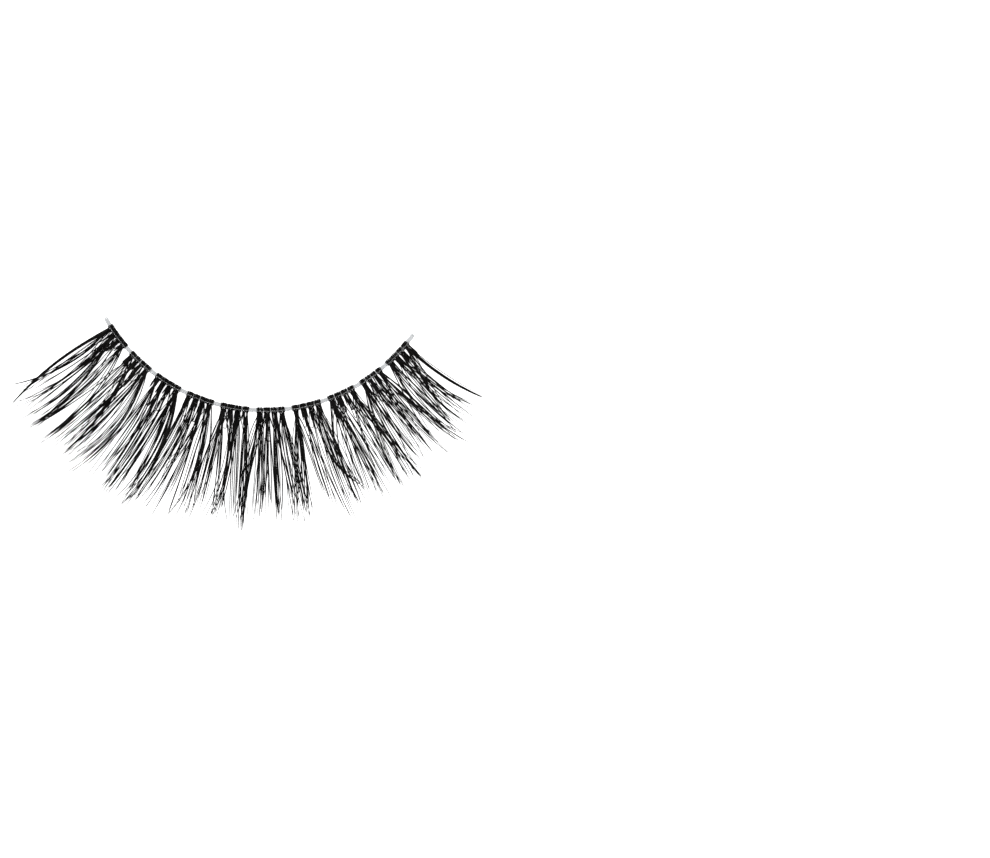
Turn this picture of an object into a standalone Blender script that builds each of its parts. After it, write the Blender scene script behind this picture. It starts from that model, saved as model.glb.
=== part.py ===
# False eyelash strip: a clear band bent to the lid's arc, a clear binding thread,
# and ten groups of black lashes that are knotted round the band and curl upwards.
#
# The strip lies on its back, with its knots and the bellies of its lashes on Z = 0.
# X runs along the strip and +Y points to the eyelid. Lengths are in metres.

import math

import bmesh
import bpy
from mathutils import Matrix, Vector

MM = 0.001

# Band: a flat strip bent to an arc about a vertical axis. Places along the arc are in degrees
# from its lowest point, and grow towards +X.
BAND_RADIUS = 16.75 * MM
BAND_LENGTH = 33.56 * MM
BAND_TURN = -3.1
BAND_WIDTH = 0.40 * MM
BAND_THICKNESS = 0.18 * MM
SLICE_LENGTH = 0.70 * MM

# The stubs round in over this length, through one corner slice at this share of it, and stop
# at this share of a full round.
STUB_ROUNDING = 0.22 * MM
STUB_CORNER_SHARE = 0.25
STUB_ROUND_SHARE = 0.9

# Layout: the bare stubs at the band's ends, and the bare gaps between groups of lashes.
LONG_END_STUB = 0.85 * MM
SHORT_END_STUB = 0.94 * MM
GROUP_GAP = 0.64 * MM

# Knots: each group wraps the band in a row of knots, joined by thinner necks.
KNOTS_IN_GROUP = 4
KNOT_CLEARANCE = 0.03 * MM
KNOT_WALL = 0.08 * MM
NECK_WALL = 0.04 * MM
KNOT_FILL = 0.72

# Binding thread, laid over the knots.
THREAD_RADIUS = 0.035 * MM
THREAD_CLEARANCE = 0.03 * MM
THREAD_OFFSET = 0.10 * MM
THREAD_OVERHANG = 0.05 * MM

# Locks: the tapered tufts that each knot holds. The first lies lowest and the last highest,
# so that those of neighbouring knots pass over each other.
LOCKS_IN_KNOT = 3
LOCK_RADIUS = 0.17 * MM
LOCK_REACH = 11.7 * MM
LOCK_SPACING = 0.15 * MM
LOCK_SLICES = 6
FAN_SHARE = 0.5
LAYER_HEIGHT = 0.19 * MM
LAYER_RISE_SHARE = 0.18
CURL_HEIGHT = 3.9 * MM
CURL_FROM_SHARE = 0.12
CURL_POWER = 2.1
UNEVEN_REACH = 0.035
UNEVEN_CURL = 0.07
UNEVEN_LAYER = 0.08

# Thickness along a lock, as shares of its length and of LOCK_RADIUS.
LOCK_TAPER = (
    {"along": 0.00, "thick": 0.85},
    {"along": 0.12, "thick": 1.00},
    {"along": 0.45, "thick": 0.82},
    {"along": 0.75, "thick": 0.50},
    {"along": 1.00, "thick": 0.10},
)

# One row for each group of lashes, from the strip's long corner to its short one. width is the
# group's share of the band. reach is how far the group's first and last lock stand out, as
# shares of LOCK_REACH. lean is how many degrees along the arc their tips lie past the group's
# first and last edge, and turn how many degrees they turn towards +X on their way.
GROUPS = (
    {"width": 0.96, "reach": (0.99, 0.98), "lean": (3.1, 2.0), "turn": (30, -8)},
    {"width": 0.93, "reach": (0.99, 0.98), "lean": (1.1, 1.6), "turn": (-10, -22)},
    {"width": 1.02, "reach": (0.98, 0.97), "lean": (1.7, 1.5), "turn": (-12, -14)},
    {"width": 1.00, "reach": (0.92, 0.95), "lean": (0.9, 2.2), "turn": (-13, -4)},
    {"width": 1.03, "reach": (0.87, 0.92), "lean": (1.2, 1.0), "turn": (10, 0)},
    {"width": 1.01, "reach": (0.91, 0.88), "lean": (-0.8, 0.3), "turn": (0, -6)},
    {"width": 1.05, "reach": (0.88, 0.95), "lean": (-0.9, -0.2), "turn": (4, 0)},
    {"width": 1.02, "reach": (0.82, 0.85), "lean": (-0.6, 0.2), "turn": (12, 10)},
    {"width": 0.91, "reach": (0.85, 0.84), "lean": (-1.6, 0.9), "turn": (10, 20)},
    {"width": 1.06, "reach": (0.84, 0.79), "lean": (-0.7, 0.9), "turn": (20, 26)},
)

# Curve caps are welded to their tubes within this distance.
WELD_DISTANCE = 0.0005 * MM

# Counting up in steps of this share of a turn never settles into a pattern.
GOLDEN_SHARE = 0.618034

# Colours of the finished pieces.
LASH_BLACK = (0.006, 0.006, 0.007, 1.0)
BAND_CLEAR = (0.86, 0.88, 0.90, 1.0)
THREAD_CLEAR = (0.90, 0.92, 0.93, 1.0)

# Sizes that follow from those above: the knots' half width and half height round the band.
KNOT_HALF_WIDTH = BAND_WIDTH / 2 + KNOT_CLEARANCE + KNOT_WALL
KNOT_HALF_HEIGHT = BAND_THICKNESS / 2 + KNOT_CLEARANCE + KNOT_WALL


def clear_scene():
    for obj in list(bpy.data.objects):
        bpy.data.objects.remove(obj, do_unlink=True)


def new_collection(name, hidden=False):
    collection = bpy.data.collections.new(name)
    bpy.context.scene.collection.children.link(collection)
    collection.hide_render = hidden
    return collection


def principled(name, colour, roughness, transmission=0.0):
    material = bpy.data.materials.new(name)
    material.use_nodes = True
    shader = material.node_tree.nodes["Principled BSDF"]
    shader.inputs["Base Color"].default_value = colour
    shader.inputs["Roughness"].default_value = roughness
    shader.inputs["Metallic"].default_value = 0.0
    shader.inputs["Transmission Weight"].default_value = transmission
    material.diffuse_color = colour
    return material


def mix(start, end, share):
    return start + (end - start) * share


def uneven(number):
    """A value from -1 to 1 that jumps about as the number counts up."""
    return 2 * ((number * GOLDEN_SHARE) % 1) - 1


def arc_degrees(length):
    """The angle that a length along the band's middle spans."""
    return math.degrees(length / BAND_RADIUS)


def on_arc(degrees, radius, height):
    """The point at this place along the arc, this far from its axis."""
    angle = math.radians(degrees)
    return Vector((radius * math.sin(angle), -radius * math.cos(angle), height))


def band_degrees(length):
    """The place along the arc at this length from the band's long end."""
    return BAND_TURN + arc_degrees(length - BAND_LENGTH / 2)


def group_places():
    """Where each group's knots start and end, in degrees. They share what stubs and gaps leave bare."""
    gaps = GROUP_GAP * (len(GROUPS) - 1)
    hair = BAND_LENGTH - LONG_END_STUB - SHORT_END_STUB - gaps
    whole = sum(group["width"] for group in GROUPS)
    start = LONG_END_STUB
    places = []
    for group in GROUPS:
        end = start + hair * group["width"] / whole
        places.append((band_degrees(start), band_degrees(end)))
        start = end + GROUP_GAP
    return places


def bent_bar(bm, degrees_from, degrees_to, stations):
    """A box whose slices follow the arc, added to bm. A station is (share of the length, half width,
    half height), and the box's middle is as high as the band's."""
    square = Matrix.Rotation(math.pi / 4, 4, "Z")
    ring = bmesh.ops.create_circle(bm, segments=4, radius=1.0, matrix=square)
    slices = [ring["verts"]]
    edges = bm.edges[:]
    for _ in stations[1:]:
        grown = bmesh.ops.extrude_edge_only(bm, edges=edges)["geom"]
        edges = [item for item in grown if isinstance(item, bmesh.types.BMEdge)]
        edges = [edge for edge in edges if len(edge.link_faces) == 1]
        slices.append([item for item in grown if isinstance(item, bmesh.types.BMVert)])
    for verts, (share, half_width, half_height) in zip(slices, stations):
        degrees = mix(degrees_from, degrees_to, share)
        for vert in verts:
            out = BAND_RADIUS + math.copysign(half_width, vert.co.x)
            up = KNOT_HALF_HEIGHT + math.copysign(half_height, vert.co.y)
            vert.co = on_arc(degrees, out, up)
    bmesh.ops.holes_fill(bm, edges=bm.edges, sides=4)
    bmesh.ops.recalc_face_normals(bm, faces=bm.faces)


def object_from(bm, name, collection):
    mesh = bpy.data.meshes.new(name)
    bm.to_mesh(mesh)
    bm.free()
    obj = bpy.data.objects.new(name, mesh)
    collection.objects.link(obj)
    return obj


def as_cutter(obj):
    obj.hide_render = True
    obj.display_type = "WIRE"
    return obj


def band_stations(grow=0.0):
    """The band's slices, rounded in at both ends, or those of a band that is grown all round."""
    half_height = BAND_THICKNESS / 2 + grow
    rounding = STUB_ROUNDING / BAND_LENGTH
    count = math.ceil(BAND_LENGTH / SLICE_LENGTH)
    corner = [0.0, STUB_CORNER_SHARE * rounding, rounding]
    middle = [mix(rounding, 1 - rounding, step / count) for step in range(1, count)]
    stations = []
    for share in [*corner, *middle, *(1 - share for share in reversed(corner))]:
        inset = max(0.0, 1 - min(share, 1 - share) / rounding)
        half_width = BAND_WIDTH / 2 * math.sqrt(1 - (STUB_ROUND_SHARE * inset) ** 2) + grow
        stations.append((share, half_width, half_height))
    return stations


def make_band(name, collection, grow=0.0):
    bm = bmesh.new()
    bent_bar(bm, band_degrees(0.0), band_degrees(BAND_LENGTH), band_stations(grow))
    return object_from(bm, name, collection)


def tube(name, depth, resolution, runs, collection):
    """A curve object with one bevelled run for each list of (point, thickness share) pairs."""
    curve = bpy.data.curves.new(name, "CURVE")
    curve.dimensions = "3D"
    curve.twist_mode = "Z_UP"
    curve.bevel_depth = depth
    curve.bevel_resolution = resolution
    curve.use_fill_caps = True
    for run in runs:
        spline = curve.splines.new("POLY")
        spline.points.add(len(run) - 1)
        for point, (place, thick) in zip(spline.points, run):
            point.co = (*place, 1.0)
            point.radius = thick
    obj = bpy.data.objects.new(name, curve)
    collection.objects.link(obj)
    return obj


def make_thread(places, collection):
    """The clear thread: a fine tube over the knots, from the first group's edge to the last one's."""
    start = places[0][0] - arc_degrees(THREAD_OVERHANG)
    end = places[-1][1] + arc_degrees(THREAD_OVERHANG)
    count = math.ceil((end - start) / arc_degrees(SLICE_LENGTH))
    radius = BAND_RADIUS + THREAD_OFFSET
    height = 2 * KNOT_HALF_HEIGHT + THREAD_CLEARANCE + THREAD_RADIUS
    run = [(on_arc(mix(start, end, step / count), radius, height), 1.0) for step in range(count + 1)]
    return tube("binding_thread", THREAD_RADIUS, 1, [run], collection)


def knot_stations():
    """Slices of a group's head: a wide stretch for each knot, and a neck between neighbours."""
    thinner = KNOT_WALL - NECK_WALL
    knot = (KNOT_HALF_WIDTH, KNOT_HALF_HEIGHT)
    neck = (KNOT_HALF_WIDTH - thinner, KNOT_HALF_HEIGHT - thinner)
    margin = (1 - KNOT_FILL) / 2
    stations = [(0.0, *neck)]
    for number in range(KNOTS_IN_GROUP):
        for share in (margin, 1 - margin):
            stations.append(((number + share) / KNOTS_IN_GROUP, *knot))
        stations.append(((number + 1) / KNOTS_IN_GROUP, *neck))
    return stations


def taper(share):
    """A lock's thickness at this share of its length, as a share of LOCK_RADIUS."""
    for near, far in zip(LOCK_TAPER, LOCK_TAPER[1:]):
        if share <= far["along"]:
            return mix(near["thick"], far["thick"], (share - near["along"]) / (far["along"] - near["along"]))
    return LOCK_TAPER[-1]["thick"]


def lock_run(group, start, end, knot, lock, number):
    """The centre line of one lock, as (point, thickness share) pairs."""
    side = lock - (LOCKS_IN_KNOT - 1) / 2
    fan = mix(knot / (KNOTS_IN_GROUP - 1), lock / (LOCKS_IN_KNOT - 1), FAN_SHARE)
    root_place = mix(start, end, (knot + 0.5) / KNOTS_IN_GROUP) + side * arc_degrees(LOCK_SPACING)
    tip_place = mix(start + group["lean"][0], end + group["lean"][1], fan)
    reach = mix(*group["reach"], fan) * (1 + UNEVEN_REACH * uneven(number)) * LOCK_REACH
    root = on_arc(root_place, BAND_RADIUS + BAND_WIDTH / 2, 0.0)
    chord = on_arc(tip_place, BAND_RADIUS + reach, 0.0) - root
    bow = chord.cross(Vector((0, 0, 1))) * math.radians(mix(*group["turn"], fan)) / 8
    layer = LOCK_RADIUS + LAYER_HEIGHT * (lock + UNEVEN_LAYER * (1 + uneven(number + 0.25)))
    curl = CURL_HEIGHT * (reach / LOCK_REACH) * (1 + UNEVEN_CURL * uneven(number + 0.5))
    run = []
    for step in range(LOCK_SLICES + 1):
        share = step / LOCK_SLICES
        point = root + chord * share + bow * 4 * share * (1 - share)
        curled = max(0.0, share - CURL_FROM_SHARE) / (1 - CURL_FROM_SHARE)
        point.z = mix(KNOT_HALF_HEIGHT, layer, min(1.0, share / LAYER_RISE_SHARE))
        point.z += curl * curled ** CURL_POWER
        run.append((point, taper(share)))
    return run


def make_locks(name, runs, collection):
    """All locks of a group as tapered tubes, welded and joined in one mesh."""
    tubes = tube(name + "_tubes", LOCK_RADIUS, 0, runs, collection)
    graph = bpy.context.evaluated_depsgraph_get()
    mesh = bpy.data.meshes.new_from_object(tubes.evaluated_get(graph))
    bpy.data.objects.remove(tubes, do_unlink=True)
    bm = bmesh.new()
    bm.from_mesh(mesh)
    bmesh.ops.remove_doubles(bm, verts=bm.verts, dist=WELD_DISTANCE)
    bmesh.ops.recalc_face_normals(bm, faces=bm.faces)
    return object_from(bm, name, collection)


def add_boolean(obj, operation, other, use_self=False):
    modifier = obj.modifiers.new(operation.title(), "BOOLEAN")
    modifier.operation = operation
    modifier.object = other
    modifier.solver = "EXACT"
    modifier.use_self = use_self


def make_cluster(index, place, band_cutter, parts, cutters):
    """A group's locks fused to its knots, with the band's channel cut through them."""
    name = f"lash_cluster_{index + 1:02d}"
    bm = bmesh.new()
    bent_bar(bm, *place, knot_stations())
    knots = as_cutter(object_from(bm, name + "_knots", cutters))
    runs = []
    for knot in range(KNOTS_IN_GROUP):
        for lock in range(LOCKS_IN_KNOT):
            number = (index * KNOTS_IN_GROUP + knot) * LOCKS_IN_KNOT + lock
            runs.append(lock_run(GROUPS[index], *place, knot, lock, number))
    cluster = make_locks(name, runs, parts)
    add_boolean(cluster, "UNION", knots, use_self=True)
    add_boolean(cluster, "DIFFERENCE", band_cutter)
    return cluster


def set_material(obj, material):
    obj.data.materials.clear()
    obj.data.materials.append(material)


def evaluated_corners(objects):
    """The lowest and highest corner of all these objects together."""
    graph = bpy.context.evaluated_depsgraph_get()
    low = Vector((math.inf,) * 3)
    high = -low
    for obj in objects:
        shape = obj.evaluated_get(graph)
        for vert in shape.to_mesh().vertices:
            place = obj.matrix_world @ vert.co
            low = Vector(map(min, low, place))
            high = Vector(map(max, high, place))
        shape.to_mesh_clear()
    return low, high


def centre_on_floor(parts, cutters):
    """Moves everything so that the bottom centre of the strip's box is the origin."""
    low, high = evaluated_corners(parts.objects)
    middle = (low + high) / 2
    for obj in [*parts.objects, *cutters.objects]:
        obj.location += Vector((-middle.x, -middle.y, -low.z))
    bpy.context.view_layer.update()


def main():
    clear_scene()
    parts = new_collection("false_eyelash_strip")
    cutters = new_collection("cutters", hidden=True)
    lash_black = principled("lash_black", LASH_BLACK, 0.45)
    band_clear = principled("band_clear", BAND_CLEAR, 0.25, transmission=0.8)
    thread_clear = principled("thread_clear", THREAD_CLEAR, 0.2, transmission=0.8)
    places = group_places()
    band_cutter = as_cutter(make_band("band_cutter", cutters, grow=KNOT_CLEARANCE))
    set_material(make_band("band", parts), band_clear)
    set_material(make_thread(places, parts), thread_clear)
    for index, place in enumerate(places):
        set_material(make_cluster(index, place, band_cutter, parts, cutters), lash_black)
    centre_on_floor(parts, cutters)


main()
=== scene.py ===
"""A false eyelash strip, dressed with single hairs, wound knots, clear film and a clear thread."""

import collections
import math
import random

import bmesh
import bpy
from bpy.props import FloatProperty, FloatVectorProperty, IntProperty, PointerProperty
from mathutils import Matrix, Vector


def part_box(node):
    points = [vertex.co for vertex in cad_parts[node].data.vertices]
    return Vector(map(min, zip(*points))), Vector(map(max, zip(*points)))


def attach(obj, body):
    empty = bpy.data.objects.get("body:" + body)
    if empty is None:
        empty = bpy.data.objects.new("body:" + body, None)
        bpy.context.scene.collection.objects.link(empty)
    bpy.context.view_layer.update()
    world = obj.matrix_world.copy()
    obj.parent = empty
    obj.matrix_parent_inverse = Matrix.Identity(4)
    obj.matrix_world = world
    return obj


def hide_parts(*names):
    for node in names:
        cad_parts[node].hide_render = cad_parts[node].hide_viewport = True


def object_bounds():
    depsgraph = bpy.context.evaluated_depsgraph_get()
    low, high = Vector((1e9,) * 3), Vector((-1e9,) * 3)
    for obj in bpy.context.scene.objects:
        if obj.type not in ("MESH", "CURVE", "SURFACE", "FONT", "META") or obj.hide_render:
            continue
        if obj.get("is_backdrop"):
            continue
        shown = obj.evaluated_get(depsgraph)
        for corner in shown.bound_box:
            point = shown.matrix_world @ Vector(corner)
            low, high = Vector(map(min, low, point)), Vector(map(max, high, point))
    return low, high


bl_info = {
    "name": "False Eyelash Strip",
    "version": (1, 0, 0),
    "blender": (4, 5, 0),
    "location": "3D View > Sidebar > Eyelash",
    "description": "Dresses the strip's solids with hairs, knots and clear plastics",
    "category": "Add Mesh",
}

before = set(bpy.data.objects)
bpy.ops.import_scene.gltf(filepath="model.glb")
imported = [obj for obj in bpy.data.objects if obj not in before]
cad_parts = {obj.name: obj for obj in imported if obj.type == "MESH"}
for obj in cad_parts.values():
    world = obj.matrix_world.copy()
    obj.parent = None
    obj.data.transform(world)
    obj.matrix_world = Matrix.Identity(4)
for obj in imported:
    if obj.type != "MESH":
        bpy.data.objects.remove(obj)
CAD_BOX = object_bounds()

MM = 0.001
UP = Vector((0, 0, 1))

# The solids' own sizes. Places along the arc are in degrees from its lowest point.
BAND_RADIUS = 16.75 * MM
BAND_LENGTH = 33.56 * MM
BAND_TURN = -3.1
BAND_WIDTH = 0.40 * MM
BAND_THICKNESS = 0.18 * MM
STUB_ROUNDING = 0.22 * MM
LONG_END_STUB = 0.85 * MM
SHORT_END_STUB = 0.94 * MM
GROUP_GAP = 0.64 * MM
GROUP_WIDTHS = (0.96, 0.93, 1.02, 1.00, 1.03, 1.01, 1.05, 1.02, 0.91, 1.06)
KNOTS_IN_GROUP = 4
KNOT_CLEARANCE = 0.03 * MM
KNOT_WALL = 0.08 * MM
KNOT_FILL = 0.72
THREAD_RADIUS = 0.035 * MM
THREAD_CLEARANCE = 0.03 * MM
THREAD_OFFSET = 0.10 * MM
THREAD_OVERHANG = 0.05 * MM
LOCK_REACH = 11.7 * MM
LAYER_RISE_SHARE = 0.18
CURL_HEIGHT = 3.9 * MM
CURL_FROM_SHARE = 0.12
CURL_POWER = 2.1
KNOT_HALF_WIDTH = BAND_WIDTH / 2 + KNOT_CLEARANCE + KNOT_WALL
KNOT_HALF_HEIGHT = BAND_THICKNESS / 2 + KNOT_CLEARANCE + KNOT_WALL

# The photograph: its middle pixel, the pixel of the arc's axis, its width and its scale.
PHOTO_MIDDLE = (495.0, 429.0)
PHOTO_WIDTH = 990.0
ARC_AXIS_PIXEL = (264.8, 227.0)
PIXEL_SIZE = 0.0914 * MM
CAMERA_LENS = 300.0
SENSOR_WIDTH = 36.0

# Fineness of the meshes.
HAIR_SIDES = 5
HAIR_STEPS = 12
LOOP_SIDES = 4
LOOP_STEPS = 14
LOOP_THICKNESS = 0.1
WELD_SHARE = 0.01
FILM_SIDES = 20
FILM_STEP = 0.35 * MM
THREAD_SIDES = 6
THREAD_STEP = 0.12 * MM

# Seeds of the random numbers, to which a group's number is added.
HAIR_SEED = 100
KNOT_SEED = 500

# The locks, charted one by one. root, belly and tip are places along the arc in degrees, and
# belly_reach and tip_reach say how many millimetres those points stand out from the band.
# The hairs of a bold lock lie side by side up to its tip.
Lock = collections.namedtuple(
    "Lock", "root belly belly_reach tip tip_reach hairs bold", defaults=(False,),
)
CHART = (
    (
        Lock(-57.0, -57.0, 5.6, -54.7, 11.5, 12, bold=True),
        Lock(-55.6, -55.0, 4.6, -58.1, 10.5, 5),
        Lock(-56.3, -55.8, 5.0, -56.4, 10.2, 5),
        Lock(-55.6, -56.3, 4.5, -55.2, 9.7, 4),
        Lock(-54.2, -53.2, 5.5, -54.6, 10.8, 6),
        Lock(-55.0, -54.5, 6.5, -54.9, 9.0, 3),
        Lock(-54.5, -52.5, 5.5, -53.7, 11.1, 7),
        Lock(-53.5, -50.6, 5.5, -51.3, 11.4, 9),
        Lock(-52.6, -52.0, 6.0, -51.8, 10.2, 2),
        Lock(-51.8, -49.4, 5.5, -49.4, 11.5, 13),
        Lock(-50.2, -48.6, 5.5, -49.1, 11.2, 10),
        Lock(-49.6, -47.7, 4.5, -48.3, 9.4, 6),
        Lock(-49.3, -46.0, 3.8, -45.6, 10.8, 7),
    ),
    (
        Lock(-46.5, -47.0, 5.2, -48.9, 10.9, 8),
        Lock(-46.2, -45.4, 5.8, -46.0, 11.7, 7),
        Lock(-45.0, -41.9, 5.0, -41.8, 10.9, 12),
        Lock(-43.6, -44.4, 5.0, -45.5, 10.9, 8),
        Lock(-43.0, -43.9, 6.5, -44.5, 10.8, 5),
        Lock(-42.3, -42.9, 6.0, -43.9, 11.1, 6),
        Lock(-41.6, -42.2, 6.0, -43.2, 10.0, 4),
        Lock(-40.6, -41.2, 6.0, -41.9, 10.8, 6),
        Lock(-39.6, -40.0, 5.2, -41.3, 10.4, 10),
        Lock(-39.7, -39.8, 6.0, -40.5, 11.1, 4),
        Lock(-40.2, -39.0, 5.5, -40.0, 11.0, 6),
        Lock(-39.0, -37.6, 5.5, -39.2, 10.8, 7),
        Lock(-38.7, -37.0, 5.0, -38.9, 10.3, 6),
        Lock(-38.6, -36.2, 5.0, -38.3, 11.4, 14),
    ),
    (
        Lock(-35.9, -35.4, 5.0, -37.0, 10.4, 6),
        Lock(-35.3, -34.8, 5.5, -35.1, 11.3, 6),
        Lock(-34.8, -33.5, 5.0, -33.7, 10.1, 8),
        Lock(-33.4, -32.6, 5.5, -33.2, 9.5, 5),
        Lock(-33.2, -32.1, 5.5, -32.6, 10.9, 6),
        Lock(-32.0, -31.5, 5.0, -31.8, 10.9, 12),
        Lock(-31.4, -31.0, 5.5, -31.1, 11.2, 6),
        Lock(-30.9, -30.1, 5.5, -30.9, 11.3, 13),
        Lock(-28.5, -29.1, 5.0, -30.3, 11.0, 8),
        Lock(-28.4, -28.8, 5.5, -29.2, 10.6, 5),
        Lock(-28.3, -27.4, 4.5, -27.3, 8.8, 5),
        Lock(-28.0, -26.7, 5.0, -27.0, 10.9, 7),
        Lock(-27.6, -26.1, 5.0, -27.8, 11.1, 14),
        Lock(-27.4, -25.3, 4.5, -26.5, 11.0, 9),
    ),
    (
        Lock(-24.8, -24.9, 5.0, -26.3, 11.4, 8),
        Lock(-24.2, -23.6, 5.0, -25.1, 8.8, 4),
        Lock(-22.3, -23.1, 5.3, -24.9, 10.6, 12),
        Lock(-21.7, -22.4, 5.5, -23.7, 9.5, 6),
        Lock(-20.2, -20.9, 5.5, -23.0, 7.3, 3),
        Lock(-20.8, -21.2, 6.0, -23.0, 10.7, 7),
        Lock(-19.8, -19.9, 5.5, -21.1, 10.8, 11),
        Lock(-18.6, -19.0, 5.5, -19.6, 9.3, 6),
        Lock(-19.4, -18.6, 5.0, -18.5, 11.0, 8),
        Lock(-18.3, -17.5, 5.0, -17.1, 9.0, 6),
        Lock(-17.6, -16.8, 4.5, -16.4, 8.8, 6),
        Lock(-16.4, -14.5, 5.0, -15.0, 10.9, 13),
        Lock(-16.9, -15.4, 5.3, -18.3, 11.0, 8),
        Lock(-16.7, -15.2, 5.5, -14.9, 10.2, 8),
        Lock(-16.9, -15.9, 5.0, -16.7, 10.6, 3),
    ),
    (
        Lock(-13.9, -14.5, 4.5, -14.4, 9.0, 4),
        Lock(-13.7, -13.6, 4.5, -13.7, 9.0, 5),
        Lock(-13.5, -13.0, 5.0, -13.0, 9.2, 4),
        Lock(-11.9, -12.4, 5.0, -12.4, 9.4, 7),
        Lock(-12.6, -10.6, 5.2, -9.6, 10.2, 12),
        Lock(-11.5, -10.9, 5.2, -10.2, 9.5, 6),
        Lock(-10.4, -10.1, 6.8, -12.8, 11.1, 2),
        Lock(-9.6, -8.9, 5.2, -10.1, 9.6, 9),
        Lock(-9.9, -9.1, 5.5, -9.4, 10.2, 6),
        Lock(-8.6, -8.1, 5.5, -8.8, 9.0, 5),
        Lock(-9.4, -9.1, 6.5, -7.3, 9.9, 3),
        Lock(-8.3, -7.1, 5.0, -6.2, 9.8, 16),
        Lock(-6.7, -5.6, 5.4, -4.9, 10.7, 9),
        Lock(-5.7, -4.7, 5.3, -4.3, 10.5, 7),
        Lock(-5.0, -4.4, 4.0, -4.5, 9.5, 5),
    ),
    (
        Lock(-2.3, -3.4, 4.8, -4.1, 9.9, 9),
        Lock(-2.7, -4.5, 4.5, -6.1, 7.1, 4),
        Lock(-2.6, -3.8, 5.5, -4.5, 10.6, 6),
        Lock(-1.7, -1.5, 5.0, -2.1, 9.8, 5),
        Lock(-1.4, -1.2, 5.5, -1.4, 9.9, 6),
        Lock(-0.9, -0.4, 5.5, -0.5, 9.7, 7),
        Lock(-0.2, 0.4, 5.5, 0.2, 8.5, 5),
        Lock(0.2, 1.2, 5.0, 1.2, 8.6, 9),
        Lock(1.4, 1.9, 5.5, 2.3, 9.9, 8),
        Lock(2.3, 2.4, 5.5, 2.9, 9.9, 6),
        Lock(3.3, 3.1, 5.0, 3.4, 9.5, 5),
        Lock(3.7, 3.9, 5.2, 3.2, 10.3, 6),
        Lock(3.7, 5.0, 5.5, 6.2, 10.0, 9),
        Lock(4.2, 5.4, 4.6, 6.6, 8.2, 12),
        Lock(5.8, 7.1, 4.6, 8.5, 10.2, 16),
    ),
    (
        Lock(8.9, 7.5, 5.0, 6.2, 10.1, 14),
        Lock(9.4, 8.9, 4.5, 8.3, 8.0, 4),
        Lock(10.3, 9.6, 5.0, 8.2, 9.4, 8),
        Lock(10.4, 9.6, 5.5, 9.7, 9.3, 3),
        Lock(9.8, 12.0, 5.0, 13.2, 8.8, 13),
        Lock(11.5, 13.0, 5.0, 13.9, 9.2, 7),
        Lock(12.3, 13.8, 5.2, 15.8, 9.9, 7),
        Lock(12.8, 14.0, 5.5, 14.6, 9.0, 4),
        Lock(13.4, 15.3, 5.0, 17.0, 11.2, 13),
        Lock(14.9, 16.4, 5.2, 17.0, 9.3, 6),
        Lock(16.6, 17.2, 5.2, 18.3, 9.6, 6),
        Lock(16.9, 17.8, 4.8, 18.3, 9.2, 6),
        Lock(17.3, 18.6, 4.8, 19.4, 10.2, 8),
        Lock(17.5, 18.9, 5.0, 20.3, 9.4, 6),
        Lock(16.0, 17.2, 6.0, 20.9, 8.4, 2),
    ),
    (
        Lock(20.5, 18.7, 4.8, 19.5, 10.3, 12),
        Lock(20.2, 18.1, 3.0, 17.9, 7.5, 3),
        Lock(20.8, 20.9, 5.0, 21.0, 8.6, 5),
        Lock(20.9, 23.3, 5.0, 24.7, 10.3, 12),
        Lock(22.7, 21.0, 4.3, 20.4, 7.5, 5),
        Lock(22.5, 21.9, 5.2, 21.6, 9.5, 5),
        Lock(22.3, 22.8, 5.2, 23.2, 9.3, 6),
        Lock(23.0, 24.1, 5.0, 24.9, 8.2, 8),
        Lock(24.3, 25.5, 5.3, 26.5, 9.3, 8),
        Lock(27.2, 25.3, 4.5, 25.2, 8.0, 8),
        Lock(25.4, 26.7, 5.0, 27.8, 9.8, 8),
        Lock(26.4, 27.4, 5.0, 27.9, 9.5, 7),
        Lock(27.3, 28.2, 4.5, 28.0, 8.0, 4),
        Lock(28.1, 29.7, 5.8, 30.1, 9.6, 7),
        Lock(28.3, 30.0, 4.9, 30.4, 9.9, 9),
        Lock(28.5, 30.6, 5.8, 32.1, 9.8, 6),
    ),
    (
        Lock(31.9, 29.0, 5.0, 27.9, 9.7, 12),
        Lock(31.8, 31.8, 4.5, 32.1, 9.7, 5),
        Lock(31.8, 31.2, 4.5, 30.9, 8.3, 3),
        Lock(31.9, 32.9, 5.0, 33.9, 8.8, 11),
        Lock(34.3, 33.2, 4.3, 32.3, 7.5, 4),
        Lock(34.2, 34.7, 5.0, 34.3, 9.1, 5),
        Lock(34.6, 35.3, 4.8, 36.0, 7.4, 6),
        Lock(35.2, 36.2, 5.3, 37.0, 9.2, 7),
        Lock(37.9, 36.5, 4.2, 35.8, 7.6, 7),
        Lock(36.2, 37.3, 5.2, 38.8, 9.4, 11),
        Lock(37.0, 38.1, 5.0, 38.9, 8.0, 5),
        Lock(38.6, 38.3, 4.0, 38.5, 7.0, 3),
        Lock(38.7, 40.4, 4.9, 41.4, 8.0, 13),
        Lock(39.0, 40.9, 6.2, 43.5, 10.7, 3),
    ),
    (
        Lock(42.3, 39.7, 3.6, 38.5, 7.8, 8),
        Lock(42.0, 40.9, 4.3, 41.9, 8.8, 6),
        Lock(42.5, 41.5, 4.8, 42.7, 8.3, 4),
        Lock(42.8, 42.6, 4.5, 43.6, 8.6, 5),
        Lock(42.7, 43.3, 5.0, 44.0, 8.7, 9),
        Lock(45.2, 44.3, 4.2, 43.9, 7.5, 5),
        Lock(46.7, 45.0, 5.2, 45.6, 8.5, 8),
        Lock(45.3, 46.5, 5.5, 47.5, 8.9, 10),
        Lock(46.3, 47.2, 4.8, 47.5, 7.2, 6),
        Lock(46.8, 47.7, 5.3, 49.6, 8.7, 7),
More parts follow.
